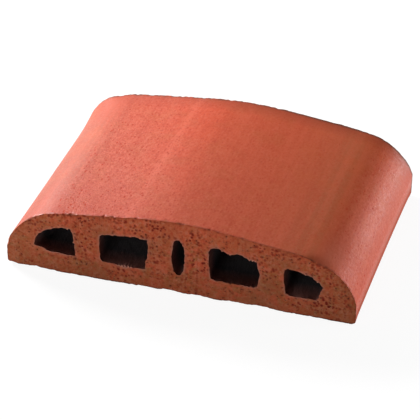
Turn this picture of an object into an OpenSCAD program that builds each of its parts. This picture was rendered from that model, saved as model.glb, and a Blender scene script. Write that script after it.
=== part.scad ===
// Coping brick: one extruded and fired clay unit that caps a free-standing wall.
// X runs across the wall, Y along the wall, which is the way the clay was extruded,
// and Z is up from the flat bed. The origin is the middle of the bed.
// Lengths are in millimetres and angles in degrees.

/* [Body] */
// Width across the wall
body_w = 300; // [285:5:330]
// Length along the wall, from cut end to cut end
body_l = 215; // [140:5:320]
// Height of the crown above the bed
crown_h = 67.5; // [62:0.5:76]
// Height of the upright sides
side_h = 20; // [14:0.5:26]
// Radius of the two long edges along the bed
arris_r = 3.5; // [1:0.5:8]

/* [Weathered top] */
// Fall of the two flanks, which sheds the rain
flank_fall = 7.3; // [5:0.1:10]
// Radius of the crown, where the flanks meet
crown_r = 320; // [150:10:420]
// Lean of the shoulder where it leaves the upright side
shoulder_lean = 19; // [6:1:28]

/* [Clay around the cells] */
// Thickness of the clay under every cell
bed_t = 16.5; // [12:0.5:22]
// Thickness of the clay outside the outer cells
side_t = 25.5; // [18:0.5:32]
// Thickness of the clay between the slot and each middle cell
slot_web_t = 20; // [14:0.5:24]
// Thickness of the clay between a middle cell and the outer cell beside it
cell_web_t = 20; // [14:0.5:24]
// Depth of the slot's top below the crown
slot_cover_t = 17.5; // [13:0.5:22]
// Depth of the middle cells below the flank, measured square to it
mid_cover_t = 19; // [14:0.5:23]
// Depth of the outer cells below the flank, measured square to it
outer_cover_t = 16; // [13:0.5:20]

/* [Cells] */
// Width of the upright oval slot in the middle
slot_w = 11.5; // [6:0.5:16]
// Width of each middle cell
mid_cell_w = 43.5; // [34:0.5:50]
// Radius of the cells' plain corners
corner_r = 3.5; // [1.5:0.5:6]
// Radius of the back of each outer cell, beside the shoulder
back_r = 20; // [12:0.5:24]
// Radius of the heel of each outer cell, between its back and its floor
heel_r = 8; // [4:0.5:10]

/* [Hidden] */
half_w = body_w/2;

// The flank is a straight line that would cross the middle plane at this height.
flank_apex_h = crown_h + crown_r*(1/cos(flank_fall) - 1);

// The shoulder starts at the top of the upright side, turns through this angle and runs
// into the flank without a break, which settles its radius.
shoulder_turn = 90 - flank_fall - shoulder_lean;
shoulder_r = (under_flank(half_w, 0) - side_h)*cos(flank_fall)/(1 - cos(shoulder_turn));
shoulder_c = [half_w - shoulder_r*cos(shoulder_lean), side_h - shoulder_r*sin(shoulder_lean)];

// Each side's cells lie between these planes, from the middle outwards.
mid_in = slot_w/2 + slot_web_t;
mid_out = mid_in + mid_cell_w;
outer_in = mid_out + cell_web_t;
outer_out = half_w - side_t;

// Back of the outer cell: it touches the cell's top and its outer plane.
outer_back_r = min(back_r, outer_out - outer_in - 2*corner_r);
back_x = outer_out - outer_back_r;
back_c = [back_x, under_flank(back_x, outer_cover_t + outer_back_r)];

// Heel of the outer cell: it touches the floor and the inside of the back.
outer_heel_r = min(heel_r, (back_c.y + outer_back_r - bed_t)/2);
heel_drop = max(0, bed_t + outer_heel_r - back_c.y);
heel_reach = sqrt(pow(outer_back_r - outer_heel_r, 2) - heel_drop*heel_drop);
heel_c = [back_c.x + heel_reach, bed_t + outer_heel_r];
heel_a = atan2(heel_drop, heel_reach);

// The slot has upright sides and half-oval ends, each as tall as the slot is wide.
slot_top = crown_h - slot_cover_t;
slot_end_h = min(slot_w, (slot_top - bed_t)/2);

// Degrees of turn for each edge of a round stretch, on small and on large radii
fine_step = 12;
broad_step = 3;

// Height of the line at this depth under the flank, measured square to it, at a place x
function under_flank(x, depth) = flank_apex_h - x*tan(flank_fall) - depth/cos(flank_fall);

// Points on an arc of an ellipse with half-axes size, from angle a to angle b
function oval(centre, size, a, b, step) =
    let (n = ceil(abs(b - a)/step))
    [for (i = [0:n]) let (t = a + (b - a)*i/n) centre + [size.x*cos(t), size.y*sin(t)]];

// Points on a circular arc
function arc(centre, r, a, b, step = fine_step) = oval(centre, [r, r], a, b, step);

// A direction, as a vector of length 1
function unit(v) = v/norm(v);

// The corner at p, rounded, between the point before it and the point after it
function rounded(before, p, after, r) =
    let (
        u = unit(before - p),
        v = unit(after - p),
        half = acos(u*v)/2,
        centre = p + unit(u + v)*r/sin(half),
        start = p + u*r/tan(half) - centre,
        a = atan2(start.y, start.x)
    )
    arc(centre, r, a, a + 180 - 2*half);

// Points mirrored to the other side of the middle plane, in reverse order
function mirrored(points) = [for (i = [len(points) - 1:-1:0]) [-points[i].x, points[i].y]];

// Right half of the brick's outline: bed edge, upright side, shoulder, flank and crown
function right_half() = concat(
    arc([half_w - arris_r, arris_r], arris_r, -90, 0),
    arc(shoulder_c, shoulder_r, shoulder_lean, 90 - flank_fall, broad_step),
    arc([0, crown_h - crown_r], crown_r, 90 - flank_fall, 90, broad_step/2)
);

// The crown's top point belongs to both halves, and is kept once.
function outline() = let (left = mirrored(right_half()))
    concat(right_half(), [for (i = [1:len(left) - 1]) left[i]]);

function slot_outline() = concat(
    oval([0, slot_top - slot_end_h], [slot_w/2, slot_end_h], 0, 180, fine_step),
    oval([0, bed_t + slot_end_h], [slot_w/2, slot_end_h], 180, 360, fine_step)
);

// Middle cell: a level floor, upright sides and a top that runs along under the flank
function mid_cell_outline() =
    let (
        p = [
            [mid_in, bed_t],
            [mid_out, bed_t],
            [mid_out, under_flank(mid_out, mid_cover_t)],
            [mid_in, under_flank(mid_in, mid_cover_t)]
        ]
    )
    [for (i = [0:3]) each rounded(p[(i + 3) % 4], p[i], p[(i + 1) % 4], corner_r)];

// Outer cell: as the middle one, but its far side curves over beside the shoulder
function outer_cell_outline() =
    let (
        low = [outer_in, bed_t],
        high = [outer_in, under_flank(outer_in, outer_cover_t)],
        top_end = [back_x, under_flank(back_x, outer_cover_t)],
        floor_end = [heel_c.x, bed_t]
    )
    concat(
        rounded(high, low, floor_end, corner_r),
        arc(heel_c, outer_heel_r, -90, heel_a),
        arc(back_c, outer_back_r, heel_a, 90 - flank_fall),
        rounded(top_end, high, low, corner_r)
    );

module both_sides() {
    children();
    mirror([1, 0, 0]) children();
}

// Section through the brick, with its five cells
module section() {
    difference() {
        polygon(outline());
        polygon(slot_outline());
        both_sides() polygon(mid_cell_outline());
        both_sides() polygon(outer_cell_outline());
    }
}

module coping_brick() {
    color("#a8523c")
    translate([0, body_l/2, 0])
    rotate([90, 0, 0])
    linear_extrude(height = body_l) section();
}

coping_brick();
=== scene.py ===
"""Looks of the coping brick: one extruded and fired clay unit, with its torn cut ends, pores and die lines,
in a plain white studio. Lengths are in metres, and MM turns millimetres into them."""
import math
import random

import bmesh
import bpy
import numpy as np
from mathutils import Matrix, Vector, geometry, kdtree


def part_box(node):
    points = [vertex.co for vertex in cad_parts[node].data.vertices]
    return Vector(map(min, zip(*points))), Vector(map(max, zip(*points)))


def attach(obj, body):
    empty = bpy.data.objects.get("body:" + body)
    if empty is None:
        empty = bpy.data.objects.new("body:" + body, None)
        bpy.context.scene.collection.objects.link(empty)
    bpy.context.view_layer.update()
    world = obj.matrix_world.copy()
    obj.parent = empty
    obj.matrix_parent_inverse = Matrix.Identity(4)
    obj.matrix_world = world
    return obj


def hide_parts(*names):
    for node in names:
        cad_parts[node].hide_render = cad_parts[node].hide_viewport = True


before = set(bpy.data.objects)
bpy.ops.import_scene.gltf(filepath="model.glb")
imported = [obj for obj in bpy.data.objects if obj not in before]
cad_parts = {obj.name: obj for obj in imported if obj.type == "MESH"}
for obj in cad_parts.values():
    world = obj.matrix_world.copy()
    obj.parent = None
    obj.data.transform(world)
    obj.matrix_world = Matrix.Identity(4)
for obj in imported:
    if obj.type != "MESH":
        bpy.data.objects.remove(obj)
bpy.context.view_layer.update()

MM = 0.001
NODE = "coping_brick"
LOW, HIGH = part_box(NODE)
FRONT, BACK = LOW.y, HIGH.y
LENGTH = BACK - FRONT
ENDS = FRONT_END, BACK_END = 0, 1  # values that come in pairs are for the front end and the back end

# Mesh
OUTLINE_STEP = 1.0 * MM  # spacing of the points round the brick
CELL_STEP = 0.55 * MM  # spacing of the points round a cell's mouth
FACE_STEP = 1.25 * MM  # spacing of the points on a cut end
FACE_JITTER = 0.22  # how far these are off their grid, as a share of it
FACE_CLEAR = (0.62, 0.5)  # and how clear of the edges and of the pores
RING_DEPTHS = [d * MM for d in (0.0, 0.35, 0.8, 1.4, 2.2, 3.4, 5.0, 7.0)]  # of the rings near a cut end
THIN_GAP = 2.5 * MM  # from there to the next ring, which has half as many points
SKIN_RINGS = (3.2 * MM, 1)  # spacing of the rings along the rest of the skin, and how often they are thinned
CELL_RINGS = (7.0 * MM, 2)  # the same inside a cell
RING_MULTIPLE = 4  # a ring's number of points is a multiple of this, so it can be halved twice
TINY = 0.001 * MM  # points of the CAD mesh closer than this are one
ON_END = 0.01 * MM  # and those this close to the front plane lie on it
TRACE_STEP = 0.3 * MM  # spacing of the points by which a torn mouth is measured
CDT_INSIDE, CDT_CLOSE = 1, 1e-5  # Blender's triangulation: keep the faces inside, and its tolerance
HASH = (73856093, 19349663, 83492791)  # large numbers that scatter the noise's values
SEED_HASH, SEED_SCALE, MIX_HASH, MIX_MASK = 2654435, 1009, 1274126177, 0xFFFFFFFF
LOOP_SEED, END_SEED = 11.7, 53.9  # steps of the seed from one loop, and from one end, to the next
END_SEEDS = (21, 61)  # for the cut ends themselves
PIT_SEED = 5

# Roughness, in layers of noise: height, size of its features (one, or one for each axis), shift of the seed
END_BACK = 0.26 * MM  # how far a cut end lies back from its plane, before its roughness
END_LEAST = 0.02 * MM  # and the least with it
END_LAYERS = [
    (0.16 * MM, 11 * MM, 0.0), (0.13 * MM, 3.4 * MM, 7.3), (0.10 * MM, 1.5 * MM, 3.1),
    (0.09 * MM, (1.7 * MM, 16 * MM), 5.7),
]
SKIN_LAYERS = [
    (0.06 * MM, (38 * MM, 90 * MM, 38 * MM), 2.4), (0.025 * MM, (4.5 * MM, 400 * MM, 4.5 * MM), 6.6),
    (0.03 * MM, (9 * MM, 14 * MM, 9 * MM), 4.3),
]
TEAR_LAYERS = [(0.35 * MM, 6.0 * MM, 0.0)]  # broad waves of a cell's mouth
FRAY_LAYERS = [(0.42 * MM, 2.0 * MM, 9.1)]  # and fine ones
ARRIS_LAYERS = [(0.5, 2.2 * MM, 0.0), (0.6, 7 * MM, 3.3)]  # of an arris, as shares of its wear
FOOT_LAYERS = [(0.35 * MM, 4 * MM, 6.4), (0.2 * MM, 11 * MM, 8.1), (0.25 * MM, 1.9 * MM, 1.7)]
MOUTH_ROUGH = ((0.5, 1.0), (3.4, 2.2))  # strength of the broad and the fine waves of the mouths at both ends

# How far along the brick each change of an end runs, and how it fades
WEAR_RUN = 0.8 * MM
CHIP_RUN = 1.3 * MM
TEAR_RUN = 14.0 * MM  # a torn mouth
FRAY_RUN = 2.5 * MM  # its ragged edge, and dents along the foot
FADE_POWER = 1.5
BURR_RUN, LIP_RUN = 0.8 * MM, 0.5 * MM  # the colour of threads, and of a mouth's lip
ARRIS_RELIEF = 0.35  # share of the skin's relief at an arris
RELIEF_RUN = 4 * MM  # the depth over which that share would grow by 1
CELL_SHADE_DEPTH = 38 * MM  # from here on a cell's lining is fully in painted shade
DUSTY = (1.0, 0.3)  # how much pale dust lies on the cells' floors at each end

# Arrises and foot
ARRIS_WEAR = (0.22 * MM, 0.35 * MM)  # how far the arris of each end is rounded back
LEAST_WEAR = 0.05 * MM
CHIP_SIZE = 2.8 * MM  # size of the small chips along an arris
CHIP_LAYERS = [(1.0, CHIP_SIZE, 5.2), (0.5, 2.5 * CHIP_SIZE, 2.6)]
CHIP_START = 0.1  # noise below this leaves no chip
CHIP_DEPTH = (0.80 * MM, 0.50 * MM)  # the most that they take from each arris
CHIP_LIFT = 0.8  # share of its depth by which the cut end lies back beside a chip
CHIP_MARK = 2.5  # how soon a chip is dark
CHIP_CLEAR = 12 * MM  # below this height over the foot they fade out
FOOT_REACH = 2 * MM  # how far up the dents along the foot go
FOOT_SHADE_HEIGHT = 1.5 * MM  # height of the painted contact shade along the foot of the skin
RIM_WIDTH = (1.1 * MM, 2.6 * MM)  # width of the dark line along each arris
RIM_STRENGTH = (0.6, 1.5)  # and how dark it is
EDGE_DARK = 0.9 * MM  # width of the darker edge round a cut end
BED_EDGE = 1.2 * MM  # faces of the skin that are lower than this belong to the bed

# Pores of the cut ends and pits of the skin
PORE_COUNT = 270  # open pores in each cut end
PORE_TRIES = 8  # places tried for each of them
PORE_RADII = (0.35 * MM, 0.95 * MM)  # of the smallest and the largest
PORE_SKEW = 2.2  # above 1, small ones are more common
PORE_CLEAR = (0.7 * MM, 0.6 * MM)  # clay left to the nearest edge and to the next pore
PORE_STRETCH = (0.65, 1.0)  # its height as a share of its width, from least to most
PORE_DEPTHS = (0.9, 1.5)  # its depth as a share of its radius
PORE_WOBBLE = (0.82, 1.12)  # how much its radius varies round it
# Rings of points from a pore's lip to its floor: share of its radius, number, share of its depth, darkness of
# its painted shade
PORE_RINGS = ((1.0, 9, 0.0, 0.25), (0.62, 6, 0.75, 1.0), (0.0, 1, 1.0, 1.0))
PIT_COUNT = 170  # small pits in the skin
PIT_CLEAR = 14 * MM  # how far they stay from the ends
PIT_RIM = 0.5 * MM  # from the edge of a pit's face to the pit
PIT_SHRINK = (0.5, 1.0)  # and the size it then keeps
PIT_DEPTHS = (0.3, 0.7)  # in mm

# Each cell's mouth as the wire tore it at the front end, from left to right: its corners, x and z in mm
MOUTHS = {
    "outer_left": [
        (-125, 24), (-124, 29), (-121, 34), (-115, 39), (-106, 42.5), (-100, 43.5), (-93, 43), (-91, 39),
        (-91, 33), (-89.5, 28), (-89, 18.5), (-97, 18), (-104, 19), (-114, 19), (-118, 22), (-124, 22.5),
    ],
    "middle_left": [
        (-68, 42), (-66, 43.5), (-61, 44.5), (-50, 45.5), (-40, 46.5), (-36, 47), (-33, 46), (-27, 46),
        (-26, 40), (-26, 34), (-27, 28), (-28.5, 24), (-28, 18), (-38, 17), (-52, 17.5), (-65, 18), (-67, 20),
        (-68, 30),
    ],
    "slot": [
        (-2, 51), (1, 51), (3, 48), (4.5, 44), (5.5, 36), (5, 28), (4, 21), (1, 17.5), (-1.5, 17.5), (-4, 21),
        (-5.5, 28), (-6, 35), (-5, 45), (-4, 49),
    ],
    "middle_right": [
        (25.5, 45), (27, 48), (30, 49.5), (34, 50), (37, 48), (41, 46), (45, 46), (49, 47.5), (54, 47),
        (59, 44), (66, 43), (67, 38), (69, 32), (68, 25), (67, 20), (64, 18.5), (50, 18.5), (31, 18.5),
        (28, 20), (26.5, 25),
    ],
    "outer_right": [
        (89, 40.5), (92, 42), (98, 41.5), (104, 40), (112, 38), (114, 35.5), (118, 34), (120, 31.5),
        (122, 30), (120, 26), (118.5, 19.5), (116, 17), (106, 17), (95, 16.5), (91, 18), (90, 25), (89, 32),
    ],
}

# Threads of clay left standing in a mouth's edge, each with a notch on both sides: x, z and height, in mm
THREADS = {
    "outer_left": [(-95.5, 43.5, 1.2), (-90.5, 31.5, 1.0)],
    "middle_left": [(-51, 17, 1.3), (-48.3, 17, 2.0), (-45.6, 17, 1.9), (-43, 17, 2.0), (-40.4, 17, 1.4)],
    "middle_right": [(36.5, 48.5, 1.2), (43.5, 46, 0.8), (60, 44, 1.0), (62.4, 43.5, 1.3), (64.8, 43.5, 1.0)],
    "outer_right": [(107, 39.5, 0.6), (114, 36.5, 1.0), (117, 34.5, 1.2)],
}
THREAD_WIDTH = 0.75 * MM
NOTCH_WIDTH = 2.6 * THREAD_WIDTH
THREAD_RISE, NOTCH_FALL = 1.3, 0.6  # as shares of a thread's height

# How uneven each arris is: x where its left part ends and its right part starts, and a share for each
UNEVEN = (((15 * MM, 60 * MM), (1.5, 0.6)), ((10 * MM, 45 * MM), (1.0, 0.2)))

# Where an end of the outline is worn back, or with a minus swells out: x, z, reach along the edge, how much
# is gone, and how far that runs along the brick, in mm
FRONT_WEAR = [
    (-146, 0, 6, 1.5, 4), (-125, 0, 12, 1.2, 4), (-28, 0, 6, 0.5, 3), (-7, 0, 8, 1.3, 3), (17, 0, 9, 1.1, 3),
    (48, 0, 8, 0.8, 3), (69, 0, 13, 1.1, 3), (-150, 14, 9, 0.6, 4), (116, 53, 11, 1.9, 5),
    (-150, 20, 1.8, 0.9, 4), (-143, 36, 12, 0.6, 90), (142, 0, 12, -0.7, 4), (-147, 3, 5, 0.4, 4),
]
BACK_WEAR = [
    (-136, 43, 24, -3.0, 20), (-118, 54, 7, 1.0, 5), (-88, 58, 26, -0.8, 12), (-54, 63, 14, -0.4, 8),
    (110, 57, 8, 0.6, 5), (20, 67, 36, 0.3, 5), (84, 59, 4, -0.6, 4), (150, 26, 14, -0.8, 20),
    (150, 8, 7, -0.9, 8), (70, 0, 12, 1.2, 3), (-90, 0, 9, 0.9, 3),
]

# How far the sides draw in half-way along the brick: places across it, and the depth at each
SIDE_BOW = ((-150 * MM, -120 * MM, 120 * MM, 150 * MM), (0.3 * MM, 0.0, 0.0, 0.65 * MM))

# Colours are linear red, green and blue.
# Colour of the skin across the brick, its fired tone with painted shade on the left shoulder and the right
# flank: x in mm and the colour there
SKIN_TONE_AND_SHADE = [
    (-150, (0.30, 0.064, 0.030)), (-134, (0.34, 0.073, 0.036)), (-118, (0.37, 0.076, 0.037)),
    (-90, (0.51, 0.074, 0.033)), (-40, (0.56, 0.071, 0.026)), (-20, (0.555, 0.071, 0.025)),
    (-5, (0.505, 0.072, 0.026)), (45, (0.50, 0.080, 0.031)), (80, (0.44, 0.081, 0.031)),
    (105, (0.38, 0.089, 0.034)), (122, (0.46, 0.085, 0.034)), (137, (0.50, 0.077, 0.031)),
    (150, (0.46, 0.068, 0.027)),
]
# Strength of its specks and pits across the brick: x in mm and the strength, which may pass 1
PITTED = [
    (-150, 0.2), (-124, 0.5), (-100, 1.3), (-60, 1.05), (-20, 0.7), (30, 0.5), (90, 0.33), (112, 0.3),
    (128, 0.85), (150, 0.85),
]
PITTED_ALONG = ((FRONT, 1.15), (BACK, 0.65))  # and how it changes along the brick
SKIN_DOTS = ((4.0 * MM, 0.65, 0.16), (2.8 * MM, 0.50, 0.18))  # dark dots: spacing, share and radius
CROWN_HIGHLIGHT_X, CROWN_HIGHLIGHT_HALF = -44 * MM, 5 * MM  # a painted highlight: a faint pale streak along the crown
FOOT_SHADE = ((7 * MM, 0.75), (16 * MM, 0.0))  # painted shade towards the skin's foot: heights, and how dark it is there
# Among these tints, the streak is a painted highlight along the crown; the ones for the pits, the front of
# the right flank and the foot are painted shade, and so is the rim where it runs along the foot.
SKIN_TINTS = {
    "cloud": (0.45, 0.087, 0.027), "die_line": (0.60, 0.106, 0.047), "streak": (0.68, 0.132, 0.070),
    "dark": (0.43, 0.042, 0.013), "pale": (0.58, 0.120, 0.062), "dot": (0.42, 0.030, 0.009),
    "pit": (0.30, 0.032, 0.012), "front_right_shade": (0.36, 0.052, 0.018), "foot": (0.30, 0.052, 0.022),
    "rim": (0.13, 0.036, 0.020), "bite": (0.38, 0.090, 0.036),
}

# Where dark grains swarm in a cut end, and where it is browner: x, z and reach of each place, in mm
SWARMS = [
    (-82, 34, 16), (-82, 54, 12), (-20, 57, 16), (12, 54, 13), (19, 32, 17), (-50, 9, 16), (98, 12, 10),
    (122, 14, 16),
]
DUN = [
    (-10, 60, 20), (-26, 38, 16), (-68, 50, 16), (-90, 29, 14), (-70, 3, 22), (68, 4, 18), (88, 55, 22),
    (56, 58, 14), (78, 22, 14),
]
# Dark grains: spacing, share and radius as a share of the spacing. The last, smallest ones lie in dents
GRAINS = ((8.5 * MM, 0.40, 0.12), (4.8 * MM, 0.55, 0.19), (3.1 * MM, 0.32, 0.21))
THREAD_TINT = (0.75, 0.36, 0.26)
# The pore tint is painted shade in the pores, and the foot tint a painted contact shadow along the bottom of
# a cut end.
CUT_TINTS = {
    "base": (0.50, 0.104, 0.044), "broad": (0.41, 0.100, 0.034), "brown": (0.35, 0.116, 0.036),
    "red": (0.59, 0.110, 0.052), "dun": (0.28, 0.102, 0.040), "side": (0.32, 0.108, 0.040),
    "crown": (0.60, 0.110, 0.046), "low": (0.28, 0.086, 0.033), "drag": (0.30, 0.052, 0.020),
    "smudge": (0.28, 0.028, 0.010), "dark": (0.40, 0.032, 0.009), "pale": (0.52, 0.205, 0.120),
    "grain": (0.18, 0.012, 0.005), "pore": (0.07, 0.014, 0.008), "lip": (0.42, 0.19, 0.14),
    "rim": (0.22, 0.032, 0.010), "foot": (0.10, 0.030, 0.016),
}
# The deep shade tints are painted shade deep inside the cells, grey in the front half and browner towards the
# back.
LINING_TINTS = {
    "base": (0.36, 0.115, 0.080), "streak": (0.28, 0.088, 0.060), "dust": (0.86, 0.36, 0.29),
    "deep_shade": (0.135, 0.130, 0.140), "deep_shade_back": (0.24, 0.070, 0.045), "mouth": (0.36, 0.09, 0.05),
}
# The bed's rim tint is the painted shade along the foot.
BED_TINTS = {
    "base": (0.44, 0.098, 0.060), "streak": (0.55, 0.150, 0.098), "speck": (0.25, 0.050, 0.032),
    "rim": (0.16, 0.040, 0.022),
}
SPOT_EDGE = (0.6, 1.8)  # a spot is full up to the one and gone at the other, as shares of its radius
END_SHIFT = 0.3  # share of y that moves a pattern on a cut end, so that the two ends differ

# Floor and world
FLOOR_GAP = 0.05 * MM  # the floor lies this far under the bed, so that the two don't coincide
FLOOR_HALF = 6.0
FLOOR_GREY = 0.55  # what the floor gives back to the brick
FLOOR_FAINT, FLOOR_GLOW = 0.11, 0.93  # what the camera sees of it: lit, and glowing by itself
WORLD_LIGHT, WORLD_SHOWN = 0.01, 1.0  # strength of the world for the brick and for the camera

# Lamps: name, direction from the brick (degrees from +X towards +Y, and up), width and height, power
LAMPS = [
    ("key", (153, 28), (0.42, 0.20), 27.0), ("rear_left", (127, 31), (0.36, 0.20), 2.7),
    ("top", (100, 45), (0.36, 0.20), 1.0), ("right", (12, 6), (0.36, 0.20), 11.2),
    ("rear_right", (52, 5), (0.42, 0.20), 3.2), ("front", (265, 5), (0.36, 0.20), 5.2),
]
LAMP_DISTANCE = 1.2

# Camera, with its angles in degrees
AZIMUTH, ELEVATION, ROLL = 15.63, 31.43, 1.36
AIM = Vector((-0.0036, -0.0021, 0.01835))
DISTANCE = 1.998
LENS, SENSOR = 200.0, 36.0
CLIP = (0.1, 30.0)


# ---------------- section

def end_loops(node):
    """The CAD node's front end as anticlockwise loops of (x, z): the outline, and the cells from the left."""
    bm = bmesh.new()
    bm.from_mesh(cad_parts[node].data)
    bmesh.ops.remove_doubles(bm, verts=bm.verts, dist=TINY)
    on_end = {v for v in bm.verts if abs(v.co.y - FRONT) < ON_END}
    follows = {}
    for face in bm.faces:
        if all(v in on_end for v in face.verts):
            continue
        for loop in face.loops:
            a, b = loop.vert, loop.link_loop_next.vert
            if a in on_end and b in on_end:
                follows[a] = b
    loops = []
    while follows:
        v = next(iter(follows))
        loop = []
        while v in follows:
            loop.append((v.co.x, v.co.z))
            v = follows.pop(v)
        loops.append(np.array(loop))
    bm.free()
    loops = [p if signed_area(p) > 0 else p[::-1] for p in loops]
    outline = max(loops, key=signed_area)
    cells = sorted((p for p in loops if p is not outline), key=lambda p: p[:, 0].mean())
    return outline, cells


def signed_area(p):
    """The area of a loop, above 0 where it runs anticlockwise."""
    q = np.roll(p, -1, axis=0)
    return 0.5 * float(np.sum(p[:, 0] * q[:, 1] - q[:, 0] * p[:, 1]))


def resampled(p, step, multiple):
    """The loop p with evenly spaced points, about step apart, their number a multiple of multiple."""
    closed = np.vstack([p, p[:1]])
    along = np.concatenate([[0], np.cumsum(np.linalg.norm(np.diff(closed, axis=0), axis=1))])
    count = multiple * max(3, round(along[-1] / step / multiple))
    at = np.linspace(0, along[-1], count, endpoint=False)
    return np.column_stack([np.interp(at, along, closed[:, k]) for k in (0, 1)])


def normals_right(p):
    """Unit normals on the right-hand side of each point's direction of travel."""
    d = np.roll(p, -1, axis=0) - np.roll(p, 1, axis=0)
    n = np.column_stack([d[:, 1], -d[:, 0]])
    return n / np.linalg.norm(n, axis=1)[:, None]


# ---------------- relief

def grain(points, size, seed):
    """Smooth noise from -1 to 1 at each point, with features of this size, alike or one for each axis."""
    q = np.asarray(points, float) / np.asarray(size, float)
    if q.shape[1] == 2:
        q = np.column_stack([q, np.zeros(len(q))])
    cell = np.floor(q).astype(np.int64)
    part = q - cell
    ease = part ** 3 * (part * (part * 6 - 15) + 10)
    total = np.zeros(len(q))
    for corner in np.ndindex(2, 2, 2):
        mixed = np.bitwise_xor.reduce((cell + corner) * HASH, axis=1) ^ int(seed * SEED_SCALE) * SEED_HASH
        mixed = (mixed ^ mixed >> 13) * MIX_HASH & MIX_MASK
        height = (mixed ^ mixed >> 16) / (MIX_MASK >> 1) - 1
        total += height * np.prod(np.where(corner, ease, 1 - ease), axis=1)
    return total


def layered(points, layers, seed, base=0.0):
    """The sum of base and the layers of noise."""
    total = np.full(len(points), base)
    for height, size, shift in layers:
        total += height * grain(points, size, seed + shift)
    return total


def end_relief(p, end):
    """How far a cut end lies back at each (x, z): waves, torn grains and the wire's upright marks."""
    return np.maximum(layered(p, END_LAYERS, END_SEEDS[end], END_BACK), END_LEAST)


def skin_relief(points):
    """How far the skin lies inside the die's shape: long waves and fine lines."""
    return sum(height * (1 + grain(points, size, seed)) for height, size, seed in SKIN_LAYERS)


def swell(p, x, z, reach, height):
    """One smooth swell of the loop p, given in mm."""
    away = np.hypot(p[:, 0] - x * MM, p[:, 1] - z * MM)
    return height * MM * np.exp(-(away / (reach * MM)) ** 2)


def threads(p, places):
    """How far threads and their notches move each point of a mouth to the air, and where threads stand."""
    move, mark = np.zeros(len(p)), np.zeros(len(p))
    for x, z, height in places:
        away = np.hypot(p[:, 0] - x * MM, p[:, 1] - z * MM)
        peak = np.exp(-(away / THREAD_WIDTH) ** 2)
        move += height * MM * (THREAD_RISE * peak - NOTCH_FALL * np.exp(-(away / NOTCH_WIDTH) ** 2))
        mark = np.maximum(mark, peak)
    return move, mark


def reach_of(loop, middle, turns):
    """How far the loop is from its middle in each direction, given as an angle."""
    away = resampled(loop, TRACE_STEP, 1) - middle
    turn = np.arctan2(away[:, 1], away[:, 0])
    order = np.argsort(turn)
    return np.interp(turns, turn[order], np.hypot(away[:, 0], away[:, 1])[order], period=math.tau)


def mouth_moves(p, air, name, end, seed):
    """How one end of a cell moves, as pairs of (move of each point, its run along the brick), and where
    threads stand in its mouth, from 0 to 1. Only the front end has the torn form of MOUTHS."""
    tear_share, fray_share = MOUTH_ROUGH[end]
    tear = tear_share * (air * layered(p, TEAR_LAYERS, seed)[:, None])
    fray = fray_share * (air * layered(p, FRAY_LAYERS, seed)[:, None])
    if end == BACK_END:
        return [(tear, TEAR_RUN), (fray, FRAY_RUN)], np.zeros(len(p))
    torn = np.array(MOUTHS[name]) * MM
    middle = (torn.min(axis=0) + torn.max(axis=0)) / 2
    away = p - middle
    far = np.hypot(away[:, 0], away[:, 1])
    torn_far = reach_of(torn, middle, np.arctan2(away[:, 1], away[:, 0]))
    shape = away * (torn_far / far - 1)[:, None]
    standing, mark = threads(p + shape, THREADS.get(name, []))
    return [(shape + tear, TEAR_RUN), (fray + air * standing[:, None], FRAY_RUN)], mark


def arris_chips(p, end, seed):
    """How deep small chips go into an arris at each point of the outline."""
    above_foot = np.clip((p[:, 1] - LOW.z) / CHIP_CLEAR, 0, 1)
    return CHIP_DEPTH[end] * np.clip(layered(p, CHIP_LAYERS, seed) - CHIP_START, 0, 1) * above_foot


def outline_moves(p, air, end, seed):
    """How one end of the outline moves, in the same form, and where its arris is chipped, from 0 to 1."""
    uneven = np.interp(p[:, 0], *UNEVEN[end])
    worn = ARRIS_WEAR[end] * (1.0 + uneven * layered(p, ARRIS_LAYERS, seed))
    chips = uneven * arris_chips(p, end, seed)
    at_foot = np.exp(-((p[:, 1] - LOW.z) / FOOT_REACH) ** 2)
    dents = at_foot * np.maximum(layered(p, FOOT_LAYERS, seed), 0)
    inward = [(np.maximum(worn, LEAST_WEAR), WEAR_RUN), (chips, CHIP_RUN), (dents, FRAY_RUN)]
    for x, z, reach, gone, run in FRONT_WEAR if end == FRONT_END else BACK_WEAR:
        inward.append((swell(p, x, z, reach, gone), run * MM))
    moves = [(-air * depth[:, None], run) for depth, run in inward]
    return moves, np.clip(CHIP_MARK * chips / CHIP_DEPTH[end], 0, 1)


# ---------------- mesh

SKIN, CUT, LINING, BED = range(4)  # places of the materials on the brick


class Clay:
    """The brick's points and faces while they are made, with the marks that its materials read."""

    MARKS = ("rim", "mouth", "deep", "pore", "burr", "dust")

    def __init__(self):
        self.points = []
        self.faces = []
        self.kinds = []
        self.marks = {m: [] for m in self.MARKS}

    def add(self, points, **marks):
        """Adds points and returns their numbers. Each mark is one value or one for each point."""
        first = len(self.points)
        self.points.extend(map(tuple, points))
        for m in self.MARKS:
            self.marks[m].extend(np.broadcast_to(marks.get(m, 0.0), len(points)).tolist())
        return list(range(first, len(self.points)))

    def face(self, corners, kind, flip):
        """Adds one face of a kind, whose corners run the other way round if flip is true."""
        self.faces.append(tuple(corners[::-1]) if flip else tuple(corners))
        self.kinds.append(kind)

    def strip(self, a, b, kind, flip):
        """Faces between two rings of points. b has as many points as a, or half or twice as many."""
        if len(b) == 2 * len(a):
            self.strip(b, a, kind, not flip)
            return
        for i in range(len(b)):
            j = (i + 1) % len(b)
            if len(a) == len(b):
                self.face((a[i], a[j], b[j], b[i]), kind, flip)
                continue
            p, q, r = a[2 * i], a[2 * i + 1], a[(2 * i + 2) % len(a)]
            self.face((p, q, b[i]), kind, flip)
            self.face((q, b[j], b[i]), kind, flip)
            self.face((q, r, b[j]), kind, flip)


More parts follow.
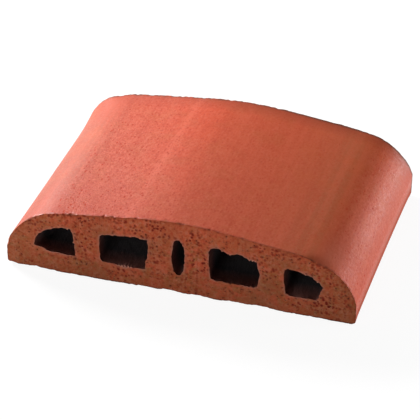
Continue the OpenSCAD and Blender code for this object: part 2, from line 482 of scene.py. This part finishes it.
def stations(gap, halvings):
    """Where the rings lie: pairs of (depth from the front, how often its points are halved)."""
    near = [(depth, 0) for depth in RING_DEPTHS]
    for k in range(1, halvings + 1):
        near.append((near[-1][0] + THIN_GAP, k))
    start = near[-1][0]
    count = round((LENGTH - 2 * start) / gap)
    middle = [(start + (LENGTH - 2 * start) * i / count, halvings) for i in range(1, count)]
    return near + middle + [(LENGTH - depth, k) for depth, k in reversed(near)]


def skin_marks(d, z, chipped, end):
    """The marks of the skin at the depth d from an end: dark along the arris and its chips, and painted
    contact shade along the foot.
    """
    rim = min(1.0, RIM_STRENGTH[end] * math.exp(-(d / RIM_WIDTH[end]) ** 2))
    rim = np.maximum(rim, chipped * math.exp(-(d / CHIP_RUN) ** 2))
    return {"rim": np.maximum(rim, np.exp(-((z - LOW.z) / FOOT_SHADE_HEIGHT) ** 2))}


def lining_marks(d, air, threaded, end):
    """The marks of a cell's lining at the depth d from an end: its lip, threads, how deep its painted shade
    is, and floor dust.
    """
    return {
        "mouth": math.exp(-d / LIP_RUN),
        "burr": threaded * math.exp(-d / BURR_RUN),
        "deep": min(1.0, d / CELL_SHADE_DEPTH),
        "dust": DUSTY[end] * np.maximum(air[:, 1], 0) ** 2,
    }


def wall(clay, p, air, ends, lift, is_cell):
    """The skin round the brick, or a cell's lining, swept from end to end. Returns both end rings. For each
    end, ends holds the moves and where chips or threads are, and lift how far the cut lies back."""
    rows = []
    for depth, level in stations(*(CELL_RINGS if is_cell else SKIN_RINGS)):
        some = slice(None, None, 2 ** level)
        end = FRONT_END if depth < LENGTH / 2 else BACK_END
        d = depth if end == FRONT_END else LENGTH - depth
        moves, torn = ends[end]
        y = d + lift[end][some] * max(0.0, 1 - d / RING_DEPTHS[-1])
        y = FRONT + y if end == FRONT_END else BACK - y
        at = np.column_stack([p[some, 0], y, p[some, 1]])
        move = sum(m[some] * math.exp(-(d / run) ** FADE_POWER) for m, run in moves)
        move = move - air[some] * (skin_relief(at) * min(1.0, ARRIS_RELIEF + d / RELIEF_RUN))[:, None]
        if not is_cell:
            bow = np.interp(p[some, 0], *SIDE_BOW) * math.sin(math.pi * depth / LENGTH)
            move = move - air[some] * bow[:, None]
        at[:, 0] = np.clip(at[:, 0] + move[:, 0], LOW.x, HIGH.x)
        at[:, 2] = np.clip(at[:, 2] + move[:, 1], LOW.z, HIGH.z)
        if is_cell:
            marks = lining_marks(d, air[some], torn[some], end)
        else:
            marks = skin_marks(d, at[:, 2], torn[some], end)
        rows.append(clay.add(at, **marks))
    for a, b in zip(rows, rows[1:]):
        clay.strip(a, b, LINING if is_cell else SKIN, not is_cell)
    return rows[0], rows[-1]


def inside(loop, q):
    """Which of the points q lie inside the loop."""
    found = np.zeros(len(q), bool)
    for (x0, z0), (x1, z1) in zip(loop, np.roll(loop, -1, axis=0)):
        if z0 == z1:
            continue
        crosses = (z0 > q[:, 1]) != (z1 > q[:, 1])
        found ^= crosses & (q[:, 0] < x0 + (x1 - x0) * (q[:, 1] - z0) / (z1 - z0))
    return found


def on_clay(loops, q):
    """Which of the points q lie in the cut clay, inside the outline and outside every cell."""
    clay = inside(loops[0], q)
    for cell in loops[1:]:
        clay &= ~inside(cell, q)
    return clay


def tree_of(points):
    """A search tree for the nearest of the points (x, z)."""
    tree = kdtree.KDTree(len(points))
    for i, (x, z) in enumerate(points):
        tree.insert((x, z, 0.0), i)
    tree.balance()
    return tree


def pore_places(rng, loops, edge_tree):
    """Centres and radii of the pores in a cut end, clear of its edges and of each other."""
    low, high = loops[0].min(axis=0), loops[0].max(axis=0)
    small, large = PORE_RADII
    edge_gap, pore_gap = PORE_CLEAR
    spans = list(zip(low, high)) * PORE_TRIES * PORE_COUNT
    tries = np.array([rng.uniform(*span) for span in spans]).reshape(-1, 2)
    found = []
    for x, z in tries[on_clay(loops, tries)]:
        r = small + (large - small) * rng.random() ** PORE_SKEW
        if edge_tree.find((x, z, 0.0))[2] < r + edge_gap:
            continue
        if any(math.hypot(x - a, z - b) < r + c + pore_gap for a, b, c in found):
            continue
        found.append((x, z, r))
    return found[:PORE_COUNT]


def pore_points(rng, pores):
    """The points of the pores, from lip to floor: places, depths below the cut, and how dark their painted
    shade is.
    """
    flat, depth, dark = [], [], []
    for x, z, r in pores:
        turn, stretch = rng.uniform(0, math.tau), rng.uniform(*PORE_STRETCH)
        deep = r * rng.uniform(*PORE_DEPTHS)
        for ring_r, count, down, mark in PORE_RINGS:
            for k in range(count):
                a = turn + math.tau * (k + 0.5 * (ring_r < 1)) / count
                wobble = ring_r * r * rng.uniform(*PORE_WOBBLE)
                flat.append((x + wobble * math.cos(a), z + wobble * stretch * math.sin(a)))
                depth.append(deep * down)
                dark.append(mark)
    return flat, depth, dark


def net_points(rng, loops, edge_tree, pores):
    """The corners of a loose net of triangles over the cut clay, clear of its edges and pores."""
    low, high = loops[0].min(axis=0), loops[0].max(axis=0)
    row_gap = FACE_STEP * math.sqrt(3) / 2
    net = []
    for j in range(int((high[1] - low[1]) / row_gap)):
        for i in range(int((high[0] - low[0]) / FACE_STEP)):
            x = low[0] + FACE_STEP * (i + 0.5 * (j % 2) + rng.uniform(-FACE_JITTER, FACE_JITTER))
            z = low[1] + row_gap * (j + 0.5 + rng.uniform(-FACE_JITTER, FACE_JITTER))
            net.append((x, z))
    net = np.array(net)
    edge_gap, pore_gap = (share * FACE_STEP for share in FACE_CLEAR)
    pore_tree = tree_of([(x, z) for x, z, _ in pores])
    found = []
    for x, z in net[on_clay(loops, net)]:
        _, k, away = pore_tree.find((x, z, 0.0))
        if edge_tree.find((x, z, 0.0))[2] >= edge_gap and away >= pores[k][2] + pore_gap:
            found.append((x, z))
    return found


def triangles_on_clay(loops, flat):
    """Triangles over the cut clay, by their corners' numbers: the loops' points come first, then flat's."""
    points = [Vector(q) for q in np.vstack(loops + [flat]) / MM]
    sides, first = [], 0
    for loop in loops:
        n = len(loop)
        sides += [(first + i, first + (i + 1) % n) for i in range(n)]
        first += n
    _, _, triangles, origin, _, _ = geometry.delaunay_2d_cdt(points, sides, [], CDT_INSIDE, CDT_CLOSE)
    source = [o[0] for o in origin]
    where = np.array([points[o] for o in source]) * MM
    middle = np.array([where[list(t)].mean(axis=0) for t in triangles])
    keep = np.ones(len(triangles), bool)
    for cell in loops[1:]:
        keep &= ~inside(cell, middle)
    return [[source[i] for i in t] for t, kept in zip(triangles, keep) if kept]


def cut_end(clay, rings, end):
    """One cut end: a net of small triangles between the end rings, with open pores."""
    rng = random.Random(END_SEEDS[end])
    on_edge = [i for ring in rings for i in ring]
    edge = np.array([clay.points[i] for i in on_edge])[:, [0, 2]]
    loops = np.split(edge, np.cumsum([len(ring) for ring in rings])[:-1])
    edge_tree = tree_of(edge)
    pores = pore_places(rng, loops, edge_tree)
    flat, depth, dark = pore_points(rng, pores)
    net = net_points(rng, loops, edge_tree, pores)
    flat = np.array(flat + net)
    depth = np.array(depth + [0.0] * len(net))
    dark = dark + [0.0] * len(net)

    lift = end_relief(flat, end) + depth
    y = FRONT + lift if end == FRONT_END else BACK - lift
    trees = tree_of(loops[0]), tree_of(np.vstack(loops[1:]))
    rim, mouth = ([math.exp(-tree.find((x, z, 0.0))[2] / EDGE_DARK) for x, z in flat] for tree in trees)
    new = clay.add(np.column_stack([flat[:, 0], y, flat[:, 1]]), rim=rim, mouth=mouth, pore=dark)
    numbers = on_edge + new
    for triangle in triangles_on_clay(loops, flat):
        clay.face([numbers[i] for i in triangle], CUT, end == BACK_END)


def split_bed(bm):
    """Gives the flat underside its own material."""
    for face in bm.faces:
        if face.material_index == SKIN and face.calc_center_median().z < LOW.z + BED_EDGE:
            face.material_index = BED


def dig_pits(bm):
    """Small pits in the skin, each in one face of its net."""
    rng = random.Random(PIT_SEED)
    mark = bm.verts.layers.float["pore"]
    squares = [face for face in bm.faces if face.material_index == SKIN and len(face.verts) == 4]
    clear = [f for f in squares if FRONT + PIT_CLEAR < f.calc_center_median().y < BACK - PIT_CLEAR]
    chosen = rng.sample(clear, PIT_COUNT)
    bmesh.ops.inset_individual(bm, faces=chosen, thickness=PIT_RIM, use_even_offset=True)
    for face in chosen:
        shrink = rng.uniform(*PIT_SHRINK)
        middle = face.calc_center_median()
        for v in face.verts:
            v.co = middle + (v.co - middle) * shrink
    normals = [face.normal.copy() for face in chosen]
    for v, normal in zip(bmesh.ops.poke(bm, faces=chosen)["verts"], normals):
        v.co -= normal * rng.uniform(*PIT_DEPTHS) * MM
        # the pit's floor is marked for painted shade
        v[mark] = 1.0


def placed(name, data):
    """A new object in the scene."""
    made = bpy.data.objects.new(name, data)
    bpy.context.scene.collection.objects.link(made)
    return made


def brick_object(clay):
    """The object made of the clay, with a bed and pits, smooth but for the edges of its cut ends."""
    mesh = bpy.data.meshes.new("brick_clay")
    mesh.from_pydata(clay.points, [], clay.faces)
    mesh.polygons.foreach_set("material_index", clay.kinds)
    for m in Clay.MARKS:
        layer = mesh.attributes.new(m, "FLOAT", "POINT")
        layer.data.foreach_set("value", np.array(clay.marks[m], np.float32))
    bm = bmesh.new()
    bm.from_mesh(mesh)
    bm.normal_update()
    split_bed(bm)
    dig_pits(bm)
    for face in bm.faces:
        face.smooth = True
    for edge in bm.edges:
        edge.smooth = len({face.material_index == CUT for face in edge.link_faces}) == 1
    bm.to_mesh(mesh)
    bm.free()
    return placed("brick", mesh)


def build_brick():
    """The whole brick as one closed mesh that stands for the CAD solid."""
    clay = Clay()
    rings = ([], [])
    outline, cells = end_loops(NODE)
    for k, (name, loop) in enumerate([("outline", outline), *zip(MOUTHS, cells)]):
        is_cell = name in MOUTHS
        p = resampled(loop, CELL_STEP if is_cell else OUTLINE_STEP, RING_MULTIPLE)
        air = -normals_right(p) if is_cell else normals_right(p)
        ends, lift = [], []
        for end in ENDS:
            seed = LOOP_SEED * k + END_SEED * end
            lift.append(end_relief(p, end))
            if is_cell:
                ends.append(mouth_moves(p, air, name, end, seed))
            else:
                ends.append(outline_moves(p, air, end, seed))
                lift[end] += CHIP_LIFT * arris_chips(p, end, seed)
        for end, ring in zip(ENDS, wall(clay, p, air, ends, lift, is_cell)):
            rings[end].append(ring)
    for end in ENDS:
        cut_end(clay, rings[end], end)
    brick = brick_object(clay)
    for material in (skin_material(), cut_material(), lining_material(), bed_material()):
        brick.data.materials.append(material)
    return brick


# ---------------- materials

class Nodes:
    """Short calls for building one material's nodes."""

    def __init__(self, name, tints=None):
        self.tints = tints
        self.colour = None
        self.material = bpy.data.materials.new(name)
        self.material.use_nodes = True
        self.tree = self.material.node_tree
        self.tree.nodes.clear()
        self.place = self.new("ShaderNodeTexCoord").outputs["Object"]

    def new(self, kind, **settings):
        node = self.tree.nodes.new(kind)
        for key, value in settings.items():
            setattr(node, key, value)
        return node

    def plug(self, socket, value):
        """Feeds a socket from a node, or gives it a constant. A colour may be three numbers."""
        if isinstance(value, bpy.types.NodeSocket):
            self.tree.links.new(value, socket)
        elif isinstance(value, tuple) and len(value) < len(socket.default_value):
            socket.default_value = (*value, 1.0)
        else:
            socket.default_value = value

    def set(self, node, **values):
        """Plugs values into a node's sockets, which are called by their names."""
        for key, value in values.items():
            self.plug(node.inputs[key.replace("_", " ")], value)
        return node

    def axis(self, number):
        """The place across the wall (0), along it (1) or up (2)."""
        split = self.new("ShaderNodeSeparateXYZ")
        self.plug(split.inputs[0], self.place)
        return split.outputs[number]

    def stretched(self, x, y, z):
        """The place with its axes scaled, for drawn-out patterns."""
        node = self.new("ShaderNodeVectorMath", operation="MULTIPLY")
        self.plug(node.inputs[0], self.place)
        self.plug(node.inputs[1], (x, y, z))
        return node.outputs[0]

    def on_cut(self):
        """The place on a cut end, other at the front than at the back."""
        node = self.new("ShaderNodeCombineXYZ")
        shifted = self.math("ADD", self.axis(0), self.math("MULTIPLY", self.axis(1), END_SHIFT))
        self.set(node, X=shifted, Y=self.axis(2))
        return node.outputs[0]

    def mark(self, name):
        """One of the marks of the clay."""
        return self.new("ShaderNodeAttribute", attribute_name=name).outputs["Fac"]

    def math(self, operation, a, b=0.0):
        node = self.new("ShaderNodeMath", operation=operation)
        self.plug(node.inputs[0], a)
        self.plug(node.inputs[1], b)
        return node.outputs[0]

    def product(self, a, b):
        return self.math("MULTIPLY", a, b)

    def most(self, *values):
        high, *others = values
        for value in others:
            high = self.math("MAXIMUM", high, value)
        return high

    def ramp(self, value, start, stop):
        """value carried from start to stop, each (value, height), and level outside them."""
        node = self.new("ShaderNodeMapRange", clamp=True)
        self.set(node, Value=value, From_Min=start[0], From_Max=stop[0], To_Min=start[1], To_Max=stop[1])
        return node.outputs[0]

    def across(self, start, stop):
        return self.ramp(self.axis(0), start, stop)

    def along(self, start, stop):
        return self.ramp(self.axis(1), start, stop)

    def up(self, start, stop):
        return self.ramp(self.axis(2), start, stop)

    def band(self, x, half_width):
        """1 along the line at x, falling to 0 at half_width on both sides of it."""
        away = self.math("ABSOLUTE", self.math("SUBTRACT", self.axis(0), x))
        return self.ramp(away, (0.0, 1.0), (half_width, 0.0))

    def near(self, x, z, reach):
        """1 on the line along the brick through x and z, falling to 0 at reach from it, all in mm."""
        away = self.new("ShaderNodeVectorMath", operation="DISTANCE")
        self.plug(away.inputs[0], self.stretched(1.0, 0.0, 1.0))
        self.plug(away.inputs[1], (x * MM, 0.0, z * MM))
        return self.ramp(away.outputs["Value"], (0.3 * reach * MM, 1.0), (reach * MM, 0.0))

    def stops(self, heights):
        """A colour or share across the wall, from a list of (x in mm, colour or share)."""
        edge = max(abs(LOW.x), abs(HIGH.x))
        node = self.new("ShaderNodeValToRGB")
        self.plug(node.inputs[0], self.across((-edge, 0.0), (edge, 1.0)))
        line = node.color_ramp
        line.interpolation = "EASE"
        for i, (x, height) in enumerate(heights):
            place = (x * MM + edge) / (2 * edge)
            stop = line.elements[i] if i < 2 else line.elements.new(place)
            stop.position = place
            stop.color = (*height, 1.0) if isinstance(height, tuple) else (height, height, height, 1.0)
        return node.outputs[0]

    def noise(self, size, detail=2.0, rough=0.5, at=None):
        """Noise from 0 to 1 whose features are about size across."""
        node = self.new("ShaderNodeTexNoise")
        self.set(node, Vector=at or self.place, Scale=1 / size, Detail=detail, Roughness=rough)
        return node.outputs["Fac"]

    def spots(self, size, share, radius, at=None, space="3D"):
        """Round spots, 1 at their middles, in that share of a grid's cells, which are about size across. The
        radius is a share of size."""
        node = self.new("ShaderNodeTexVoronoi", feature="F1", voronoi_dimensions=space)
        self.set(node, Vector=at or self.place, Scale=1 / size)
        full, gone = (edge * radius for edge in SPOT_EDGE)
        shape = self.ramp(node.outputs["Distance"], (full, 1.0), (gone, 0.0))
        split = self.new("ShaderNodeSeparateColor")
        self.plug(split.inputs[0], node.outputs["Color"])
        chosen = self.ramp(split.outputs[0], (1 - share - 0.01, 0.0), (1 - share, 1.0))
        return self.product(shape, chosen)

    def blend(self, share, a, b):
        """Colour a turning into colour b as share goes from 0 to 1."""
        node = self.new("ShaderNodeMix", data_type="RGBA")
        for number, value in ((0, share), (6, a), (7, b)):
            self.plug(node.inputs[number], value)
        return node.outputs[2]

    def tint(self, share, name):
        """Turns the colour so far into one of the material's tints, by that share."""
        self.colour = self.blend(share, self.colour, self.tints[name])

    def mottle(self, noise, spread, amount, strength):
        """Turns the colour dark where the noise is high and pale where it is low. spread is how far from its
        middle the noise takes full effect, with these amounts of dark and of pale, times strength."""
        for side, share, name in ((spread, amount[0], "dark"), (-spread, amount[1], "pale")):
            part = self.ramp(noise, (0.5 + 0.1 * side, 0.0), (0.5 + side, share))
            self.tint(self.product(part, strength), name)

    def bump(self, height, distance, after=None):
        """A normal for the relief of height, which is distance deep, on top of the one before it."""
        node = self.new("ShaderNodeBump")
        self.set(node, Height=height, Distance=distance)
        if after is not None:
            self.set(node, Normal=after)
        return node.outputs[0]

    def finish(self, roughness, normal, specular):
        """The material, in the colour so far."""
        shader = self.new("ShaderNodeBsdfPrincipled")
        self.set(shader, Base_Color=self.colour, Roughness=roughness, Normal=normal)
        self.set(shader, Specular_IOR_Level=specular)
        out = self.new("ShaderNodeOutputMaterial")
        self.set(out, Surface=shader.outputs[0])
        return self.material


def paint_skin_tone_shade_and_highlight(n):
    """The skin's colour: fired unevenly across the wall, with painted shade on the left shoulder and the
    right flank, broad clouds, fine die lines and a painted highlight along the crown as a pale streak.
    """
    n.colour = n.stops(SKIN_TONE_AND_SHADE)
    cloud = n.ramp(n.noise(20 * MM, 3, 0.55), (0.46, 0.0), (0.66, 0.5))
    n.tint(cloud, "cloud")
    die_line = n.noise(1.0, 3, 0.6, at=n.stretched(160.0, 4.0, 160.0))
    n.tint(n.ramp(die_line, (0.42, 0.0), (0.66, 0.32)), "die_line")
    # painted highlight: a pale streak along the crown
    streak = n.product(n.band(CROWN_HIGHLIGHT_X, CROWN_HIGHLIGHT_HALF), n.ramp(n.noise(25 * MM, 3), (0.3, 0.3), (0.7, 0.8)))
    n.tint(streak, "streak")


def paint_sheen_and_shade_zones(n):
    """Zones towards one end of the wall: redder ones on the left and at the front right, painted shade that
    dims the sheen there, a darker one along the back end, and pinker ones on the right, painted sheen.
    """
    darker_at_back = n.across((-80 * MM, 0.25), (-10 * MM, 0.70))
    zones = (
        # painted shade that dims the sheen on the left, towards the front
        (n.band(-105 * MM, 90 * MM), (FRONT, 0.62), (FRONT + 70 * MM, 0.0), (0.46, 0.045, 0.012)),
        # painted shade that dims the left shoulder's sheen, towards the back
        (n.band(-115 * MM, 45 * MM), (BACK - 60 * MM, 0.0), (BACK, 0.75), (0.46, 0.046, 0.012)),
        # darker along the back end, more so to the right
        (darker_at_back, (BACK - 22 * MM, 0.0), (BACK, 1.0), (0.25, 0.040, 0.016)),
        # painted sheen on the right side, pinker towards the back
        (n.band(150 * MM, 12 * MM), (FRONT + 20 * MM, 0.0), (BACK, 0.75), (0.46, 0.100, 0.065)),
        # painted shade that dims the sheen on the right side, towards the front
        (n.band(146 * MM, 20 * MM), (FRONT, 0.45), (FRONT + 90 * MM, 0.0), (0.48, 0.050, 0.012)),
        # painted sheen where the right shoulder starts, towards the front
        (n.band(122 * MM, 16 * MM), (FRONT, 0.75), (FRONT + 50 * MM, 0.0), (0.48, 0.119, 0.063)),
    )
    for share, start, stop, tint in zones:
        n.colour = n.blend(n.product(share, n.along(start, stop)), n.colour, tint)


def front_right_shade_mask(n):
    """Where painted shade darkens the right flank towards the front and dims its sheen, but not at the arris
    itself.
    """
    front_right_shade = n.product(n.band(130 * MM, 20 * MM), n.along((FRONT, 0.72), (FRONT + 80 * MM, 0.0)))
    return n.product(front_right_shade, n.along((FRONT, 0.0), (FRONT + 26 * MM, 1.0)))


def arris_shade(n):
    """How dark the skin is at its edges, with painted contact shade along its foot: broken along the front
    and the left, and even to the back right.
    """
    ragged = n.ramp(n.noise(5 * MM, 3, 0.6), (0.40, 0.15), (0.56, 1.0))
    even = n.product(n.across((-20 * MM, 0.0), (35 * MM, 1.0)), n.along((0.0, 0.0), (BACK, 1.0)))
    return n.product(n.mark("rim"), n.most(ragged, even))


def arris_bites(n):
    """Where the skin came off beside the left part of the front arris, most of all at its left end."""
    bites = n.math("SUBTRACT", n.noise(5 * MM, 3, 0.6), n.along((FRONT, 0.0), (FRONT + 9 * MM, 0.4)))
    bites = n.math("ADD", bites, n.across((-144 * MM, 0.22), (-130 * MM, 0.0)))
    return n.product(n.ramp(bites, (0.50, 0.0), (0.56, 1.0)), n.across((30 * MM, 1.0), (80 * MM, 0.0)))


def skin_material():
    """The extruded skin: matt, unevenly fired, with painted shade and sheen, faint streaks and a painted
    highlight along the crown, and specks and pits drawn lengthwise.
    """
    n = Nodes("extruded_skin", SKIN_TINTS)
    pitted = n.product(n.stops(PITTED), n.along(*PITTED_ALONG))
    drawn = n.stretched(1.0, 0.5, 1.0)
    dots = n.most(*(n.spots(size, share, radius, at=drawn) for size, share, radius in SKIN_DOTS))
    dots = n.product(n.product(dots, pitted), 0.95)
    front_right_shade, bites, foot = front_right_shade_mask(n), arris_bites(n), n.up(*FOOT_SHADE)

    paint_skin_tone_shade_and_highlight(n)
    n.mottle(n.noise(8 * MM, 3, 0.7, at=drawn), 0.16, (0.50, 0.44), pitted)
    n.mottle(n.noise(1.9 * MM, 3, 0.65, at=drawn), 0.20, (1.0, 0.90), pitted)
    n.tint(dots, "dot")
    # painted shade in the skin's pits
    n.tint(n.product(n.mark("pore"), 0.6), "pit")
    # painted shade towards the front of the right flank
    n.tint(front_right_shade, "front_right_shade")
    paint_sheen_and_shade_zones(n)
    # painted shade towards the foot of the skin
    n.tint(foot, "foot")
    n.tint(arris_shade(n), "rim")
    n.tint(bites, "bite")

    rough = n.ramp(n.noise(2.2 * MM, 3, 0.6), (0.34, 0.36), (0.66, 0.56))
    rough = n.most(rough, n.product(n.mark("rim"), 0.95), foot, n.product(bites, 0.95), n.product(dots, 0.9))
    rough = n.math("ADD", rough, n.product(front_right_shade, 0.2))
    pits = n.ramp(n.noise(2.1 * MM, 3, 0.6), (0.28, 0.0), (0.55, 1.0))
    normal = n.bump(n.product(pits, pitted), 0.08 * MM)
    normal = n.bump(n.noise(0.9 * MM, 2, 0.6), 0.03 * MM, normal)
    normal = n.bump(dots, -0.04 * MM, normal)
    return n.finish(rough, normal, 0.16)


def paint_cut(n):
    """The cut clay before its grains: brown and red patches, redder to the crown, browner to the sides and
    foot, with the wire's drag marks and dark smudges."""
    broad = n.ramp(n.noise(16 * MM, 3, 0.6), (0.38, 0.0), (0.62, 1.0))
    n.colour = n.blend(broad, n.tints["base"], n.tints["broad"])
    brown = n.noise(6.5 * MM, 2, 0.5, at=n.stretched(0.8, 1.0, 1.0))
    n.tint(n.ramp(brown, (0.52, 0.0), (0.64, 0.85)), "brown")
    red = n.noise(5.0 * MM, 2, 0.5, at=n.stretched(0.8, 1.0, 1.1))
    n.tint(n.ramp(red, (0.50, 0.0), (0.62, 0.85)), "red")
    n.tint(n.product(n.most(*(n.near(*place) for place in DUN)), 0.65), "dun")
    sides = n.ramp(n.math("ABSOLUTE", n.axis(0)), (95 * MM, 0.0), (138 * MM, 0.55))
    n.tint(sides, "side")
    n.tint(n.up((44 * MM, 0.0), (54 * MM, 0.5)), "crown")
    n.tint(n.up((30 * MM, 0.0), (0.0, 0.5)), "low")
    drag = n.ramp(n.noise(1.0, 2, 0.5, at=n.stretched(520.0, 1.0, 28.0)), (0.5, 0.0), (0.7, 0.6))
    torn = n.ramp(n.noise(60 * MM, 1), (0.45, 0.0), (0.65, 1.0))
    n.tint(n.product(drag, torn), "drag")
    smudge = n.noise(3.0 * MM, 3, 0.62, at=n.stretched(0.75, 1.0, 1.25))
    n.tint(n.ramp(smudge, (0.60, 0.0), (0.72, 0.80)), "smudge")


def cut_material():
    """A wire-cut end: coarse, open clay in browns and reds, with dark grains in swarms, smudges, pores in
    painted shade and a painted contact shadow along its foot.
    """
    n = Nodes("cut_clay", CUT_TINTS)
    swarm = n.ramp(n.noise(24 * MM, 2), (0.46, 0.15), (0.60, 0.7))
    swarm = n.most(swarm, *(n.near(*place) for place in SWARMS))
    coarse = n.ramp(swarm, (0.0, 0.85), (1.0, 1.35))
    paint_cut(n)
    n.mottle(n.noise(3.2 * MM, 3, 0.6), 0.20, (0.42, 0.40), coarse)
    n.mottle(n.noise(1.5 * MM, 3, 0.65), 0.22, (0.30, 0.28), coarse)
    for size, share, radius in GRAINS:
        grains = n.product(n.spots(size, share, radius, at=n.on_cut(), space="2D"), swarm)
        n.tint(grains, "grain")
    # painted shade in the pores
    n.tint(n.product(n.mark("pore"), 0.8), "pore")
    lip = n.product(n.mark("mouth"), n.ramp(n.noise(12 * MM, 2), (0.35, 0.1), (0.60, 0.7)))
    n.tint(lip, "lip")
    ragged = n.ramp(n.noise(4 * MM, 3, 0.6), (0.42, 0.25), (0.58, 1.0))
    n.tint(n.product(n.mark("rim"), ragged), "rim")
    # painted contact shadow along the bottom of the cut end
    n.tint(n.up((0.2 * MM, 0.8), (1.8 * MM, 0.0)), "foot")
    n.colour = n.blend(n.product(n.mark("burr"), 0.8), n.colour, THREAD_TINT)
    normal = n.bump(n.noise(2.4 * MM, 4, 0.6), 0.45 * MM)
    normal = n.bump(grains, -0.4 * MM, normal)
    return n.finish(0.92, normal, 0.2)


def lining_material():
    """Inside a cell: dragged clay, darkened away from the mouth by painted shade, grey in the front half and
    browner towards the back, with pale dust on its floor.
    """
    n = Nodes("cell_lining", LINING_TINTS)
    streak = n.ramp(n.noise(1.0, 3, 0.6, at=n.stretched(260.0, 12.0, 260.0)), (0.35, 0.0), (0.65, 1.0))
    n.colour = n.blend(streak, n.tints["base"], n.tints["streak"])
    n.tint(n.product(n.mark("dust"), 0.85), "dust")
    # painted shade deep inside the cell
    deep_shade = n.blend(n.along((0.0, 0.0), (60 * MM, 1.0)), n.tints["deep_shade"], n.tints["deep_shade_back"])
    n.colour = n.blend(n.ramp(n.mark("deep"), (0.0, 0.0), (0.6, 0.97)), n.colour, deep_shade)
    n.tint(n.product(n.mark("mouth"), 0.6), "mouth")
    n.colour = n.blend(n.product(n.mark("burr"), 0.9), n.colour, THREAD_TINT)
    normal = n.bump(n.noise(2.0 * MM, 3, 0.6, at=n.stretched(1.0, 0.25, 1.0)), 0.5 * MM)
    return n.finish(0.9, normal, 0.15)


def bed_material():
    """The underside: the same clay, rubbed on the belt and slightly dusty, and darkened by the foot's painted
    shade.
    """
    n = Nodes("bed_skin", BED_TINTS)
    streak = n.ramp(n.noise(1.0, 4, 0.65, at=n.stretched(220.0, 9.0, 220.0)), (0.38, 0.0), (0.66, 1.0))
    n.colour = n.blend(streak, n.tints["base"], n.tints["streak"])
    n.tint(n.ramp(n.noise(1.2 * MM, 3, 0.65), (0.48, 0.0), (0.74, 0.7)), "speck")
    # painted shade: the foot's dark line, which covers nearly the whole bed
    n.tint(n.product(n.mark("rim"), 0.6), "rim")
    normal = n.bump(n.noise(1.6 * MM, 4, 0.6), 0.45 * MM)
    return n.finish(0.82, normal, 0.35)


def floor_material():
    """A floor that the camera and reflections see as nearly white, but with the brick's shadow."""
    n = Nodes("studio_floor")
    path = n.new("ShaderNodeLightPath")
    seen = n.most(*(path.outputs[f"Is {kind} Ray"] for kind in ("Camera", "Glossy", "Transmission")))
    plain = n.set(n.new("ShaderNodeBsdfDiffuse"), Color=(FLOOR_GREY,) * 3)
    faint = n.set(n.new("ShaderNodeBsdfDiffuse"), Color=(FLOOR_FAINT,) * 3)
    glow = n.set(n.new("ShaderNodeEmission"), Color=(1.0, 1.0, 1.0), Strength=FLOOR_GLOW)
    both = n.new("ShaderNodeAddShader")
    n.plug(both.inputs[0], faint.outputs[0])
    n.plug(both.inputs[1], glow.outputs[0])
    mix = n.new("ShaderNodeMixShader")
    for number, value in enumerate((seen, plain.outputs[0], both.outputs[0])):
        n.plug(mix.inputs[number], value)
    n.set(n.new("ShaderNodeOutputMaterial"), Surface=mix.outputs[0])
    return n.material


# ---------------- studio

def build_floor():
    """A wide floor just under the bed."""
    bm = bmesh.new()
    bmesh.ops.create_grid(bm, x_segments=8, y_segments=8, size=FLOOR_HALF)
    mesh = bpy.data.meshes.new("floor")
    bm.to_mesh(mesh)
    bm.free()
    floor = placed("floor", mesh)
    floor.location.z = LOW.z - FLOOR_GAP
    floor.data.materials.append(floor_material())


def build_world():
    """A world that is white to the camera and lights the brick only softly."""
    world = bpy.data.worlds.new("studio")
    bpy.context.scene.world = world
    world.use_nodes = True
    nodes, links = world.node_tree.nodes, world.node_tree.links
    background = nodes["Background"]
    path = nodes.new("ShaderNodeLightPath")
    choose = nodes.new("ShaderNodeMapRange")
    links.new(path.outputs["Is Camera Ray"], choose.inputs["Value"])
    choose.inputs["To Min"].default_value = WORLD_LIGHT
    choose.inputs["To Max"].default_value = WORLD_SHOWN
    links.new(choose.outputs[0], background.inputs["Strength"])
    background.inputs["Color"].default_value = (1.0, 1.0, 1.0, 1.0)


def build_lamp(name, direction, size, power):
    """A rectangular lamp that faces the brick."""
    a, e = (math.radians(angle) for angle in direction)
    place = LAMP_DISTANCE * Vector((math.cos(a) * math.cos(e), math.sin(a) * math.cos(e), math.sin(e)))
    data = bpy.data.lights.new(name, "AREA")
    data.shape = "RECTANGLE"
    data.size, data.size_y = size
    data.energy = power
    lamp = placed(name, data)
    lamp.location = place
    lamp.rotation_euler = (-place).to_track_quat("-Z", "Y").to_euler()
    lamp.visible_camera = False


def build_camera():
    """The camera, which looks at AIM from the front, the right and above, and is rolled slightly."""
    a, e, r = (math.radians(angle) for angle in (AZIMUTH, ELEVATION, ROLL))
    back = Vector((math.sin(a) * math.cos(e), -math.cos(a) * math.cos(e), math.sin(e)))
    level = Vector((math.cos(a), math.sin(a), 0.0))
    upright = back.cross(level)
    right = level * math.cos(r) + upright * math.sin(r)
    up = upright * math.cos(r) - level * math.sin(r)
    data = bpy.data.cameras.new("camera")
    data.lens = LENS
    data.sensor_width = SENSOR
    data.clip_start, data.clip_end = CLIP
    camera = placed("camera", data)
    turned = Matrix((right, up, back)).transposed().to_4x4()
    camera.matrix_world = Matrix.Translation(AIM + back * DISTANCE) @ turned
    bpy.context.scene.camera = camera


def main():
    bpy.context.scene.view_settings.view_transform = "Standard"
    build_camera()
    brick = build_brick()
    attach(brick, "root")
    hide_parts(NODE)
    build_floor()
    build_world()
    for lamp in LAMPS:
        build_lamp(*lamp)


main()
